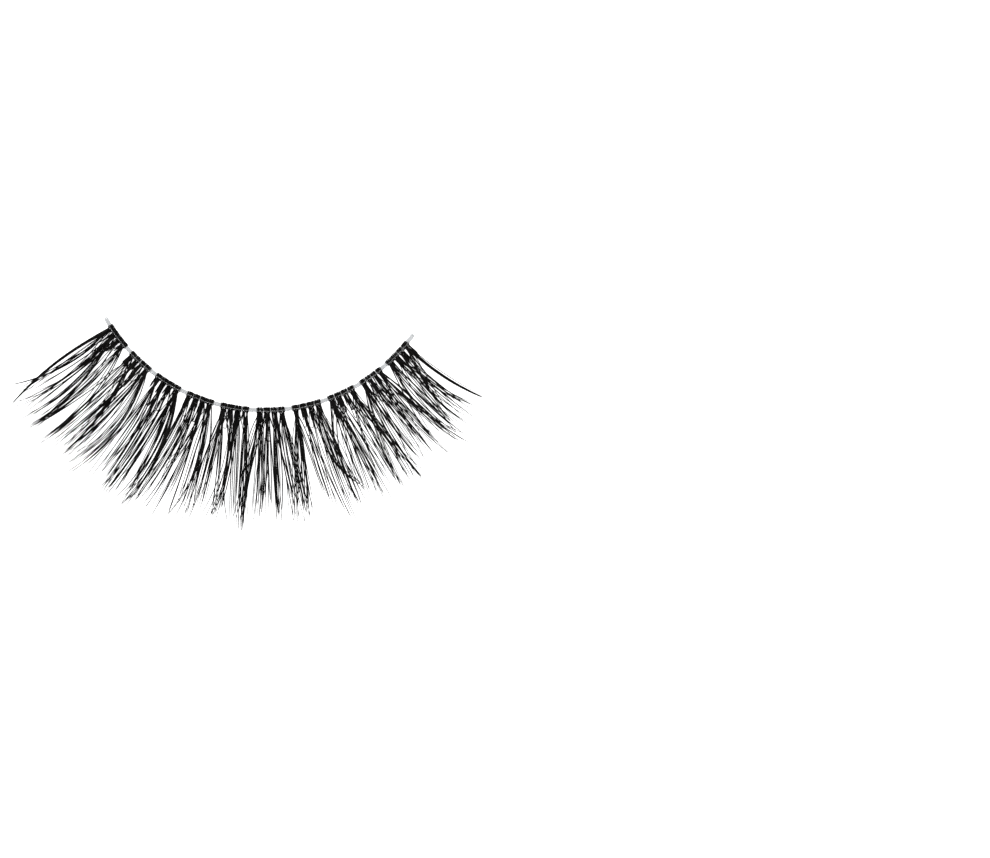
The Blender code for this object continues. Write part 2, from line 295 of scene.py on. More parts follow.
        Lock(47.2, 47.9, 4.5, 48.3, 6.9, 3),
        Lock(49.8, 46.9, 2.8, 44.7, 6.2, 9),
        Lock(50.4, 50.2, 4.7, 52.2, 8.9, 12, bold=True),
    ),
)


def length(name, description, millimetres):
    """A length that the sidebar shows, given here in millimetres."""
    return FloatProperty(
        name=name, description=description, default=millimetres * MM,
        min=0.0, precision=6, unit="LENGTH", subtype="DISTANCE",
    )


def share(name, description, default):
    return FloatProperty(
        name=name, description=description, default=default, min=0.0, max=1.0, subtype="FACTOR",
    )


def colour(name, description, default):
    return FloatVectorProperty(
        name=name, description=description, default=default, size=4, min=0.0, max=1.0, subtype="COLOR",
    )


def number_of(name, description, default):
    return IntProperty(name=name, description=description, default=default, min=0)


class EyelashSizes(bpy.types.PropertyGroup):
    """Sizes of the hairs and of the loops that tie them."""

    hair_radius: length("Hair radius", "Half the thickness of a hair at its root", 0.050)
    tip_share: share("Tip", "Thickness of a hair's tip, as a share of its root", 0.48)
    fullness: share("Fullness", "Share of the charted hairs that are made", 0.30)
    trunk_start: length("Trunk start", "How far out from the band's middle the hairs start", 0.25)
    lock_spread: length("Lock spread", "How far a hair of a lock strays from its place", 0.020)
    hair_spacing: length("Hair spacing", "Distance between neighbouring hairs of a lock", 0.16)
    bold_width: length("Bold width", "Width of a lock whose hairs lie side by side", 0.24)
    tip_splay: length("Tip splay", "How far the tips of a lock's hairs stray from each other", 0.055)
    hair_bow: length("Hair bow", "How far a single hair bows out of its lock", 0.032)
    uneven_length: share("Uneven length", "How much shorter the shortest hair of a lock is", 0.15)
    knot_crossing: share("Knot crossing", "Share of the hairs that come from the next knot", 0.20)
    loose_share: share("Loose hairs", "Share of the hairs that lie loose beside their lock", 0.42)
    stray_hairs: number_of("Stray hairs", "Fine loose hairs in each group", 22)
    stray_splay: length("Stray splay", "How far the tip of a stray hair leaves its lock", 0.36)
    knot_tails: number_of("Knot tails", "Short trimmed ends that stick out of each knot", 9)
    tail_length: length("Tail length", "How far the longest trimmed end reaches", 1.45)
    hooked_ends: number_of("Hooked ends", "Short ends in each group that hook back", 6)
    hook_radius: length("Hook radius", "How tightly a short end hooks back", 0.11)
    loop_radius: length("Loop radius", "Half the thickness of the hair wound round the band", 0.040)
    loop_spacing: length("Loop spacing", "Distance between loops, middle to middle", 0.076)


class EyelashColours(bpy.types.PropertyGroup):
    """Colours of the strip and of the surface below it."""

    lash_black: colour("Lash black", "Colour of most hairs", (0.0014, 0.0013, 0.0014, 1.0))
    lash_worn: colour("Lash worn", "Colour of the palest hairs", (0.0080, 0.0072, 0.0068, 1.0))
    film: colour("Film", "Colour of the clear band", (0.54, 0.55, 0.56, 1.0))
    thread: colour("Thread", "Colour of the clear thread", (0.78, 0.79, 0.80, 1.0))
    floor: colour("Floor", "Colour of the surface that the strip lies on", (0.93, 0.93, 0.93, 1.0))


def mix(start, end, amount):
    return start + (end - start) * amount


def smooth_step(amount):
    amount = min(1.0, max(0.0, amount))
    return amount * amount * (3 - 2 * amount)


def arc_degrees(size):
    """The angle that a length along the band's middle spans."""
    return math.degrees(size / BAND_RADIUS)


def band_degrees(size):
    """The place along the arc at this length from the band's long end."""
    return BAND_TURN + arc_degrees(size - BAND_LENGTH / 2)


def find_arc_axis():
    """Where the arc's axis stands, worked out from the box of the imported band."""
    low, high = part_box("band")
    outer = BAND_RADIUS + BAND_WIDTH / 2
    half_span = math.radians(arc_degrees(BAND_LENGTH / 2))
    lean = outer * math.sin(math.radians(BAND_TURN)) * math.cos(half_span)
    return Vector(((low.x + high.x) / 2 - lean, low.y + outer, 0.0))


ARC_AXIS = find_arc_axis()


def radial(degrees):
    """The direction from the arc's axis to this place along it."""
    angle = math.radians(degrees)
    return Vector((math.sin(angle), -math.cos(angle), 0.0))


def on_arc(degrees, reach, height=0.0):
    """The point at this place along the arc, this far out from the band's middle line."""
    return ARC_AXIS + radial(degrees) * (BAND_RADIUS + reach) + UP * height


def group_places():
    """Where each group's knots start and end, in degrees."""
    gaps = GROUP_GAP * (len(GROUP_WIDTHS) - 1)
    hair = BAND_LENGTH - LONG_END_STUB - SHORT_END_STUB - gaps
    start = LONG_END_STUB
    places = []
    for width in GROUP_WIDTHS:
        end = start + hair * width / sum(GROUP_WIDTHS)
        places.append((band_degrees(start), band_degrees(end)))
        start = end + GROUP_GAP
    return places


def knot_places(start, end):
    """The middle of each of a group's knots, in degrees."""
    return [mix(start, end, (knot + 0.5) / KNOTS_IN_GROUP) for knot in range(KNOTS_IN_GROUP)]


def as_mesh(bm, name):
    """Moves a bmesh into a new mesh."""
    mesh = bpy.data.meshes.new(name)
    bm.to_mesh(mesh)
    bm.free()
    return mesh


def finished_piece(bm, name, material, nodes=()):
    """Turns a bmesh into a smooth piece that rides on the strip and stands for these nodes."""
    mesh = as_mesh(bm, name)
    mesh.shade_smooth()
    mesh.materials.append(material)
    piece = bpy.data.objects.new(name, mesh)
    bpy.context.scene.collection.objects.link(piece)
    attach(piece, "root")
    if nodes:
        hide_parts(*nodes)
    return piece


# The materials' own numbers. A scale is in cells of noise a metre.
NOISE_MIDDLE = (0.3, 0.7)
SCUFF_SCALE = 2500.0
GRAIN_SCALE = 22000.0
GRAIN_STRENGTH = 0.25
GRAIN_DEPTH = 0.006 * MM
HAIR_ROUGHNESS = (0.36, 0.56)
HAIR_SHINE = 0.06
CLEAR_IOR = 1.46
MARK_DETAIL = 3.0
MARK_STRENGTH = 0.35
MARK_DEPTH = 0.01 * MM


def new_material(name):
    """A material with its node tree and its shader."""
    material = bpy.data.materials.new(name)
    material.use_nodes = True
    return material, material.node_tree, material.node_tree.nodes["Principled BSDF"]


def add_node(tree, kind, **settings):
    node = tree.nodes.new(kind)
    for name, value in settings.items():
        setattr(node, name, value)
    return node


def add_noise(tree, vector, scale, detail=2.0):
    noise = add_node(tree, "ShaderNodeTexNoise")
    noise.inputs["Scale"].default_value = scale
    noise.inputs["Detail"].default_value = detail
    tree.links.new(vector, noise.inputs["Vector"])
    return noise.outputs["Fac"]


def add_range(tree, value, low, high):
    """Spreads the middle of a noise over the values from low to high."""
    spread = add_node(tree, "ShaderNodeMapRange")
    spread.inputs["From Min"].default_value = NOISE_MIDDLE[0]
    spread.inputs["From Max"].default_value = NOISE_MIDDLE[1]
    spread.inputs["To Min"].default_value = low
    spread.inputs["To Max"].default_value = high
    tree.links.new(value, spread.inputs["Value"])
    return spread.outputs["Result"]


def add_bump(tree, shader, height, strength, distance):
    bump = add_node(tree, "ShaderNodeBump")
    bump.inputs["Strength"].default_value = strength
    bump.inputs["Distance"].default_value = distance
    tree.links.new(height, bump.inputs["Height"])
    tree.links.new(bump.outputs["Normal"], shader.inputs["Normal"])


def lash_fibre(colours):
    """Satin black synthetic hair: each hair has its own tone, and fine scuffs along it."""
    material, tree, shader = new_material("lash_fibre")
    tone = add_node(tree, "ShaderNodeAttribute", attribute_name="tone")
    blend = add_node(tree, "ShaderNodeMix", data_type="RGBA")
    blend.inputs["A"].default_value = colours.lash_black
    blend.inputs["B"].default_value = colours.lash_worn
    tree.links.new(tone.outputs["Fac"], blend.inputs["Factor"])
    tree.links.new(blend.outputs["Result"], shader.inputs["Base Color"])
    place = add_node(tree, "ShaderNodeTexCoord").outputs["Object"]
    scuffs = add_noise(tree, place, SCUFF_SCALE)
    tree.links.new(add_range(tree, scuffs, *HAIR_ROUGHNESS), shader.inputs["Roughness"])
    add_bump(tree, shader, add_noise(tree, place, GRAIN_SCALE), GRAIN_STRENGTH, GRAIN_DEPTH)
    shader.inputs["Specular IOR Level"].default_value = HAIR_SHINE
    return material


def clear_plastic(name, base, streaks, roughness, transmission, alpha):
    """Clear plastic with faint draw marks along its length."""
    material, tree, shader = new_material(name)
    shader.inputs["Base Color"].default_value = base
    shader.inputs["Transmission Weight"].default_value = transmission
    shader.inputs["Alpha"].default_value = alpha
    shader.inputs["IOR"].default_value = CLEAR_IOR
    along = add_node(tree, "ShaderNodeAttribute", attribute_name="along")
    around = add_node(tree, "ShaderNodeAttribute", attribute_name="around")
    place = add_node(tree, "ShaderNodeCombineXYZ")
    tree.links.new(along.outputs["Fac"], place.inputs["X"])
    tree.links.new(around.outputs["Fac"], place.inputs["Y"])
    marks = add_noise(tree, place.outputs["Vector"], streaks, MARK_DETAIL)
    tree.links.new(add_range(tree, marks, *roughness), shader.inputs["Roughness"])
    add_bump(tree, shader, marks, MARK_STRENGTH, MARK_DEPTH)
    return material


def new_rings(bm, edges):
    """Draws these edges out into one more ring, and gives the ring's edges and points."""
    grown = bmesh.ops.extrude_edge_only(bm, edges=edges)["geom"]
    verts = [item for item in grown if isinstance(item, bmesh.types.BMVert)]
    edges = [item for item in grown if isinstance(item, bmesh.types.BMEdge)]
    return [edge for edge in edges if len(edge.link_faces) == 1], verts


def toned_bmesh():
    """A bmesh whose points have a tone, from 0 for black to 1 for the palest."""
    bm = bmesh.new()
    bm.verts.layers.float.new("tone")
    return bm


def straight_hair():
    """A hair before it is bent: a tube of radius 1 from Z 0 to Z 1, closed at both ends."""
    bm = toned_bmesh()
    bmesh.ops.create_circle(bm, segments=HAIR_SIDES, radius=1.0)
    edges = bm.edges[:]
    for _ in range(HAIR_STEPS):
        edges, verts = new_rings(bm, edges)
        bmesh.ops.translate(bm, verts=verts, vec=UP / HAIR_STEPS)
    bmesh.ops.holes_fill(bm, edges=bm.edges, sides=HAIR_SIDES)
    bmesh.ops.recalc_face_normals(bm, faces=bm.faces)
    return as_mesh(bm, "straight_hair")


def round_loop():
    """A loop of hair before it is laid round the band: a ring of radius 1 about Z."""
    bm = toned_bmesh()
    turn = Matrix.Translation((1.0, 0.0, 0.0)) @ Matrix.Rotation(math.pi / 2, 4, "X")
    bmesh.ops.create_circle(bm, segments=LOOP_SIDES, radius=LOOP_THICKNESS, matrix=turn)
    bmesh.ops.spin(
        bm, geom=bm.verts[:] + bm.edges[:], cent=(0, 0, 0), axis=UP,
        angle=math.tau, steps=LOOP_STEPS, use_merge=True,
    )
    bmesh.ops.remove_doubles(bm, verts=bm.verts, dist=LOOP_THICKNESS * WELD_SHARE)
    bmesh.ops.recalc_face_normals(bm, faces=bm.faces)
    return as_mesh(bm, "round_loop")


def deep_tone(rng):
    """A random tone, more often dark than pale."""
    return rng.random() ** TONE_POWER


def add_copy(bm, mesh, tone):
    """Adds a copy of the mesh to bm and gives its points, all in one tone."""
    bm.from_mesh(mesh)
    bm.verts.ensure_lookup_table()
    layer = bm.verts.layers.float["tone"]
    verts = bm.verts[-len(mesh.vertices):]
    for vert in verts:
        vert[layer] = tone
    return verts


def through_three(root, belly, tip):
    """A smooth path through three points, as a function of the share of its length."""
    near = (belly - root).length
    bend = near / (near + (tip - belly).length)

    def path(amount):
        at_root = (amount - bend) * (amount - 1) / bend
        at_belly = amount * (amount - 1) / (bend * (bend - 1))
        at_tip = amount * (amount - bend) / (1 - bend)
        return root * at_root + belly * at_belly + tip * at_tip

    return path


# Where a hair lies in its lock: how far to the side and up at its root, belly and tip.
Stray = collections.namedtuple("Stray", "root_side root_height belly_side belly_up tip_side bow")

# A hair is held in its knot's trunk for the first share of its length, and the first power says
# how fast it is let go. The other two say how late its tip splays and tapers. Its middle line
# stays this many radii above the surface below.
TRUNK_SHARE = 0.30
TRUNK_POWER = 2
SPLAY_POWER = 4.0
TAPER_POWER = 7.5
LOWEST_RADII = 1.1


def hair_run(path, side, layer, curl, stray, cut, radius, tip_share):
    """The middle line of one hair, as (point, radius) pairs."""
    run = []
    for step in range(HAIR_STEPS + 1):
        amount = step / HAIR_STEPS
        along = amount * cut
        held = max(0.0, 1 - along / TRUNK_SHARE) ** TRUNK_POWER
        free = along ** SPLAY_POWER
        across = stray.root_side * held + stray.belly_side * (1 - held) * (1 - free)
        across += stray.tip_side * free + stray.bow * math.sin(math.pi * along) * (1 - held)
        point = path(along) + side * across
        curled = max(0.0, along - CURL_FROM_SHARE) / (1 - CURL_FROM_SHARE)
        height = mix(stray.root_height, layer + stray.belly_up, smooth_step(along / LAYER_RISE_SHARE))
        thick = radius * mix(1.0, tip_share, amount ** TAPER_POWER)
        point.z = max(thick * LOWEST_RADII, height + curl * curled ** CURL_POWER)
        run.append((point, thick))
    return run


def bend_hair(verts, run):
    """Bends a straight hair along its middle line."""
    places = [point for point, _ in run]
    frames = []
    for step, point in enumerate(places):
        forward = (places[min(step + 1, HAIR_STEPS)] - places[max(step - 1, 0)]).normalized()
        across = UP.cross(forward).normalized()
        frames.append((point, across, forward.cross(across), run[step][1]))
    for vert in verts:
        point, across, up, thick = frames[round(vert.co.z * HAIR_STEPS)]
        vert.co = point + (across * vert.co.x + up * vert.co.y) * thick


# How hairs differ. Layers and root heights are above the surface below. A cut is the share of
# its lock's path that a hair covers, and a thickness is a share of the hair radius.
GOLDEN_SHARE = 0.618034
LOW_LAYER = 0.09 * MM
HIGH_LAYER = 0.56 * MM
ROOT_HEIGHTS = (0.05 * MM, 0.35 * MM)
CURL_SHARE = 0.91
UNEVEN_CURL = 0.05
LONGEST_CUT = 1.065
CUT_POWER = 1.6
BOLD_CUTS = (0.93, 1.03)
STRAY_CUTS = (0.86, 1.05)
LOOSE_SIDE = 0.12 * MM
TIP_GATHER = 0.8
THICKNESSES = (0.82, 1.12)
LOOSE_THICKNESS = 0.78
TONE_POWER = 2

# Strays: how much less they spread at the belly than at the tip, and how much more they bow.
STRAY_NARROWING = 3
STRAY_BOW = 2


def pick_knot(rng, lock, knots, crossing):
    """The knot that a hair of this lock comes from: mostly the nearest, sometimes the one beside it."""
    nearest = min(range(len(knots)), key=lambda number: abs(knots[number] - lock.root))
    if rng.random() < crossing:
        nearest += rng.choice((-1, 1))
    return knots[min(len(knots) - 1, max(0, nearest))]


def lock_hair(rng, sizes, lock, knots, layer, stray, cut, radius):
    """The run of one hair, from a knot through its lock's belly to its tip."""
    crossing = 0.0 if lock.bold else sizes.knot_crossing
    root = on_arc(pick_knot(rng, lock, knots, crossing), sizes.trunk_start)
    tip = on_arc(lock.tip, lock.tip_reach * MM)
    path = through_three(root, on_arc(lock.belly, lock.belly_reach * MM), tip)
    side = (tip - root).cross(UP).normalized()
    uneven = 1 + UNEVEN_CURL * rng.uniform(-1, 1)
    curl = CURL_HEIGHT * CURL_SHARE * uneven * lock.tip_reach * MM / LOCK_REACH
    return hair_run(path, side, layer, curl, stray, cut, radius, sizes.tip_share)


def side_by_side(rng, sizes, across, trunk):
    """Where a hair lies in a bold lock; across goes from -1 at one edge to 1 at the other."""
    return Stray(
        root_side=across * trunk,
        root_height=rng.uniform(*ROOT_HEIGHTS),
        belly_side=across * sizes.bold_width / 2,
        belly_up=0.0,
        tip_side=across * sizes.tip_splay / 2,
        bow=0.0,
    )


def parallel(rng, sizes, place, loose, trunk):
    """Where a hair lies in an ordinary lock, place hairs from its middle line."""
    across = place * sizes.hair_spacing + rng.gauss(0, LOOSE_SIDE if loose else sizes.lock_spread)
    return Stray(
        root_side=rng.uniform(-trunk, trunk),
        root_height=rng.uniform(*ROOT_HEIGHTS),
        belly_side=across,
        belly_up=rng.uniform(-sizes.lock_spread, sizes.lock_spread),
        tip_side=across * TIP_GATHER + rng.gauss(0, sizes.tip_splay),
        bow=rng.gauss(0, sizes.hair_bow),
    )


def lock_hairs(rng, sizes, lock, number, knots, trunk):
    """The runs of one lock's hairs, with their tones."""
    layer = mix(LOW_LAYER, HIGH_LAYER, (number * GOLDEN_SHARE) % 1)
    count = max(1, round(lock.hairs * sizes.fullness))
    for hair in range(count):
        if lock.bold:
            stray = side_by_side(rng, sizes, 2 * (hair + 0.5) / count - 1, trunk)
            cut = rng.uniform(*BOLD_CUTS)
            thickness = 1.0
        else:
            loose = rng.random() < sizes.loose_share
            stray = parallel(rng, sizes, hair - (count - 1) / 2, loose, trunk)
            cut = LONGEST_CUT - sizes.uneven_length * rng.random() ** CUT_POWER
            thickness = LOOSE_THICKNESS if loose else 1.0
        radius = sizes.hair_radius * thickness * rng.uniform(*THICKNESSES)
        yield lock_hair(rng, sizes, lock, knots, layer, stray, cut, radius), deep_tone(rng)


def stray_hair(rng, sizes, lock, knots, trunk):
    """The run of a fine hair that leaves its lock."""
    stray = Stray(
        root_side=rng.uniform(-trunk, trunk),
        root_height=rng.uniform(*ROOT_HEIGHTS),
        belly_side=rng.gauss(0, sizes.stray_splay / STRAY_NARROWING),
        belly_up=0.0,
        tip_side=rng.gauss(0, sizes.stray_splay),
        bow=rng.gauss(0, sizes.hair_bow * STRAY_BOW),
    )
    layer = rng.uniform(LOW_LAYER, HIGH_LAYER)
    cut = rng.uniform(*STRAY_CUTS)
    radius = sizes.hair_radius * LOOSE_THICKNESS
    return lock_hair(rng, sizes, lock, knots, layer, stray, cut, radius)


# Trimmed ends: their reaches as shares of the longest, how many times narrower than the trunk
# their ends stray, and their tips' thickness.
TAIL_REACHES = (0.62, 1.0)
TAIL_NARROWING = 5
TAIL_TIP = 0.55


def knot_tail(rng, sizes, knot, trunk):
    """The run of a short trimmed end that lies among the roots of its knot's hairs."""
    reach = sizes.tail_length * rng.uniform(*TAIL_REACHES)
    side = UP.cross(radial(knot))
    shift = side * rng.uniform(-trunk, trunk)
    end_shift = shift + side * rng.gauss(0, trunk / TAIL_NARROWING)
    height = rng.uniform(*ROOT_HEIGHTS)
    near = on_arc(knot, sizes.trunk_start, height) + shift
    far = on_arc(knot, reach, height) + end_shift
    run = []
    for step in range(HAIR_STEPS + 1):
        amount = step / HAIR_STEPS
        thick = sizes.hair_radius * mix(1.0, TAIL_TIP, amount ** TAPER_POWER)
        run.append((near.lerp(far, amount), thick))
    return run


# Hooked ends. The fan is how far their directions stray, in degrees.
HOOK_REACHES = (1.2 * MM, 2.5 * MM)
HOOK_TURN = math.radians(165)
HOOK_FAN = 2.0
HOOK_THICKNESS = 0.8
STRAIGHT_STEPS = HAIR_STEPS // 3


def hooked_end(rng, sizes, knot, trunk):
    """The run of a short end that leaves its knot and hooks back among the hairs."""
    hand = rng.choice((-1, 1))
    forward = radial(knot + rng.gauss(0, HOOK_FAN))
    side = UP.cross(forward) * hand
    height = rng.uniform(*ROOT_HEIGHTS)
    near = on_arc(knot, sizes.trunk_start, height) + side * rng.uniform(-trunk, trunk)
    start = near + forward * rng.uniform(*HOOK_REACHES) + UP * (HIGH_LAYER - height)
    centre = start + side * sizes.hook_radius
    run = []
    for step in range(HAIR_STEPS + 1):
        if step <= STRAIGHT_STEPS:
            point = near.lerp(start, step / STRAIGHT_STEPS)
        else:
            turn = HOOK_TURN * (step - STRAIGHT_STEPS) / (HAIR_STEPS - STRAIGHT_STEPS)
            point = centre + (forward * math.sin(turn) - side * math.cos(turn)) * sizes.hook_radius
        run.append((point, sizes.hair_radius * HOOK_THICKNESS))
    return run


# How round a section is: 1 is an ellipse, and less is squarer.
KNOT_ROUNDNESS = 0.6
FILM_ROUNDNESS = 0.45
THREAD_ROUNDNESS = 1.0

# A loop's slope is measured this far ahead and behind.
SLOPE_SPAN = math.pi / 180


def squared_off(value, roundness):
    """Squares off a section whose sine or cosine this is."""
    return math.copysign(abs(value) ** roundness, value)


def loop_middle(angle, half_width, half_height):
    """A point of the rounded oblong that a loop follows round the band."""
    wide = squared_off(math.cos(angle), KNOT_ROUNDNESS)
    high = squared_off(math.sin(angle), KNOT_ROUNDNESS)
    return Vector((wide * half_width, high * half_height))


def lay_loop(verts, degrees, tilt, half_width, half_height, thick):
    """Lays a round loop about the band at this place along the arc."""
    out = radial(degrees)
    along = UP.cross(out)
    centre = on_arc(degrees, 0.0, KNOT_HALF_HEIGHT)
    for vert in verts:
        angle = math.atan2(vert.co.y, vert.co.x)
        outward = (math.hypot(vert.co.x, vert.co.y) - 1) / LOOP_THICKNESS
        sideways = vert.co.z / LOOP_THICKNESS
        middle = loop_middle(angle, half_width, half_height)
        ahead = loop_middle(angle + SLOPE_SPAN, half_width, half_height)
        behind = loop_middle(angle - SLOPE_SPAN, half_width, half_height)
        forward = (ahead - behind).normalized()
        place = middle + Vector((forward.y, -forward.x)) * outward * thick
        shift = sideways * thick + tilt * middle.x
        vert.co = centre + out * place.x + UP * place.y - along * shift


# A knot's width is a share of its room. Loops lie unevenly, and those at its sides sink in.
KNOT_WIDTHS = (0.90, 1.0)
UNEVEN_LOOP = 0.008 * MM
UNEVEN_PITCH = 0.12
LOOP_ROUNDING = 0.020 * MM
LOOP_TILT = 0.10
LOOP_THICKNESSES = (0.92, 1.0)


def make_knots(index, place, loop, sizes, material):
    """The loops of one group: four knots, mostly with a slit between them, wound side by side."""
    rng = random.Random(KNOT_SEED + index)
    start, end = place
    pitch = arc_degrees(sizes.loop_spacing)
    knot_width = math.radians(end - start) * BAND_RADIUS / KNOTS_IN_GROUP
    bm = toned_bmesh()
    for knot in knot_places(start, end):
        count = round(knot_width * rng.uniform(*KNOT_WIDTHS) / sizes.loop_spacing)
        for number in range(count):
            away = number - (count - 1) / 2
            slack = UNEVEN_LOOP * rng.random() + LOOP_ROUNDING * (2 * away / count) ** 2
            lay_loop(
                add_copy(bm, loop, deep_tone(rng)),
                knot + (away + rng.uniform(-UNEVEN_PITCH, UNEVEN_PITCH)) * pitch,
                rng.uniform(-LOOP_TILT, LOOP_TILT),
                KNOT_HALF_WIDTH - sizes.loop_radius - slack,
                KNOT_HALF_HEIGHT - sizes.loop_radius - slack,
                sizes.loop_radius * rng.uniform(*LOOP_THICKNESSES),
            )
    return finished_piece(bm, f"lash_knots_{index + 1:02d}", material)


def make_hairs(index, place, hair, sizes, material):
    """All hairs of one group, bent along their locks and joined in one mesh."""
    rng = random.Random(HAIR_SEED + index)
    knots = knot_places(*place)
    trunk = math.radians(place[1] - place[0]) * BAND_RADIUS / KNOTS_IN_GROUP * KNOT_FILL / 2
    bm = toned_bmesh()
    for number, lock in enumerate(CHART[index]):
        for run, tone in lock_hairs(rng, sizes, lock, number, knots, trunk):
            bend_hair(add_copy(bm, hair, tone), run)
    for _ in range(sizes.stray_hairs):
        run = stray_hair(rng, sizes, rng.choice(CHART[index]), knots, trunk)
        bend_hair(add_copy(bm, hair, rng.random()), run)
    for knot in knots:
        for _ in range(sizes.knot_tails):
            bend_hair(add_copy(bm, hair, deep_tone(rng)), knot_tail(rng, sizes, knot, trunk))
    for _ in range(sizes.hooked_ends):
        bend_hair(add_copy(bm, hair, rng.random()), hooked_end(rng, sizes, rng.choice(knots[1:-1]), trunk))
    name = f"lash_hairs_{index + 1:02d}"
    return finished_piece(bm, name, material, [f"lash_cluster_{index + 1:02d}"])


# How far the noise of the draw marks moves on in a degree of the arc.
MARK_STRETCH = 0.01


def bent_rod(sides, half_width, half_height, roundness, degrees_from, degrees_to, reach, height, step):
    """A rod that follows the arc, open at its ends, with its slices counted along it."""
    bm = bmesh.new()
    along = bm.verts.layers.float.new("along")
    around = bm.verts.layers.float.new("around")
    bmesh.ops.create_circle(bm, segments=sides, radius=1.0)
    out = radial(degrees_from)
    middle = on_arc(degrees_from, reach, height)
    for number, vert in enumerate(bm.verts):
        vert[around] = 2 * abs(number / sides - 0.5)
        wide = squared_off(vert.co.x, roundness) * half_width
        high = squared_off(vert.co.y, roundness) * half_height
        vert.co = middle + out * wide + UP * high
    span = math.radians(degrees_to - degrees_from)
    steps = math.ceil(span * BAND_RADIUS / step)
    bmesh.ops.spin(
        bm, geom=bm.verts[:] + bm.edges[:], cent=ARC_AXIS, axis=UP, angle=span, steps=steps,
    )
    for vert in bm.verts:
        vert[along] = place_of(vert.co)[0] * MARK_STRETCH
    return bm


def place_of(point):
    """A point's place along the arc in degrees, and its distance out from the band's middle line."""
    away = point - ARC_AXIS
    return math.degrees(math.atan2(away.x, -away.y)), math.hypot(away.x, away.y) - BAND_RADIUS


def close_ends(bm, sides):
    bmesh.ops.holes_fill(bm, edges=bm.edges, sides=sides)
    bmesh.ops.recalc_face_normals(bm, faces=bm.faces)


# A stub's rounding stops short of its point, so that its end keeps a face.
STUB_SLICES = 5
STUB_CUT = 0.97


def round_in(bm, cap, direction):
    """Draws an end cap out over the stub's rounding, ever narrower, as a quarter of a round."""
    for number in range(1, STUB_SLICES + 1):
        before, now = (n / STUB_SLICES * STUB_CUT for n in (number - 1, number))
        shrink = math.sqrt(1 - now * now) / math.sqrt(1 - before * before)
        turn = math.radians(direction * arc_degrees(STUB_ROUNDING * (now - before)))
        cap = bmesh.ops.extrude_discrete_faces(bm, faces=[cap])["faces"][0]
        bmesh.ops.rotate(bm, verts=cap.verts, cent=ARC_AXIS, matrix=Matrix.Rotation(turn, 3, "Z"))
        bmesh.ops.scale(
            bm, verts=cap.verts, vec=(shrink,) * 3,
            space=Matrix.Translation(-cap.calc_center_median()),
        )


class EYELASH_OT_clear_band(bpy.types.Operator):
    """Makes the clear film that the lashes are tied to, rounded in at both bare ends"""

    bl_idname = "eyelash.clear_band"
    bl_label = "Clear Band"

    def execute(self, context):
        colours = context.scene.eyelash_colours
        start = band_degrees(STUB_ROUNDING)
        end = band_degrees(BAND_LENGTH - STUB_ROUNDING)
        bm = bent_rod(
            FILM_SIDES, BAND_WIDTH / 2, BAND_THICKNESS / 2, FILM_ROUNDNESS, start, end,
            reach=0.0, height=KNOT_HALF_HEIGHT, step=FILM_STEP,
        )
        close_ends(bm, FILM_SIDES)
        caps = sorted(
            (face for face in bm.faces if len(face.verts) == FILM_SIDES),
            key=lambda face: place_of(face.calc_center_median())[0],
        )
        round_in(bm, caps[0], -1)
        round_in(bm, caps[1], 1)
        bmesh.ops.recalc_face_normals(bm, faces=bm.faces)
        material = clear_plastic(
            "clear_film", colours.film, streaks=9.0, roughness=(0.10, 0.26),
            transmission=0.50, alpha=1.0,
        )
        finished_piece(bm, "clear_film", material, ["band"])
        return {"FINISHED"}


class EYELASH_OT_binding_thread(bpy.types.Operator):
    """Makes the clear thread that runs over the knots and dips between the groups"""

    bl_idname = "eyelash.binding_thread"
    bl_label = "Binding Thread"

    def execute(self, context):
        colours = context.scene.eyelash_colours
        places = group_places()
        overhang = arc_degrees(THREAD_OVERHANG)
        height = 2 * KNOT_HALF_HEIGHT + THREAD_CLEARANCE + THREAD_RADIUS
        bm = bent_rod(
            THREAD_SIDES, THREAD_RADIUS, THREAD_RADIUS, THREAD_ROUNDNESS,
            places[0][0] - overhang, places[-1][1] + overhang,
            reach=THREAD_OFFSET, height=height, step=THREAD_STEP,
        )
        close_ends(bm, THREAD_SIDES)
        for vert in bm.verts:
            degrees = place_of(vert.co)[0]
            vert.co.z -= thread_dip(degrees, places)
        material = clear_plastic(
            "clear_thread", colours.thread, streaks=14.0, roughness=(0.14, 0.30),
            transmission=0.90, alpha=0.60,
        )
        finished_piece(bm, "clear_thread", material, ["binding_thread"])
        return {"FINISHED"}


GAP_DIP = 0.075 * MM
KNOT_DIP = 0.008 * MM


def thread_dip(degrees, places):
    """How far the thread sinks here: most in the bare gaps, and a little between knots."""
    for (start, end), (following, _) in zip(places, places[1:]):
        if end < degrees < following:
            share_of_gap = (degrees - end) / (following - end)
            return GAP_DIP * math.sin(math.pi * share_of_gap) ** 2
        if start <= degrees <= end:
            wave = math.cos(math.tau * KNOTS_IN_GROUP * (degrees - start) / (end - start))
            return KNOT_DIP * (1 + wave) / 2
    return 0.0


class EYELASH_OT_knots(bpy.types.Operator):
    """Winds the loops of hair that tie each group of lashes to the band"""

    bl_idname = "eyelash.knots"
    bl_label = "Knots"

    def execute(self, context):
        loop = round_loop()
        material = bpy.data.materials["lash_fibre"]
        for index, place in enumerate(group_places()):
            make_knots(index, place, loop, context.scene.eyelash_sizes, material)
        bpy.data.meshes.remove(loop)
        return {"FINISHED"}


class EYELASH_OT_hairs(bpy.types.Operator):
    """Makes the hairs of the ten groups, from the chart of their locks"""

    bl_idname = "eyelash.hairs"
    bl_label = "Hairs"

    def execute(self, context):
        hair = straight_hair()
        material = lash_fibre(context.scene.eyelash_colours)
        for index, place in enumerate(group_places()):
            make_hairs(index, place, hair, context.scene.eyelash_sizes, material)
        bpy.data.meshes.remove(hair)
        return {"FINISHED"}


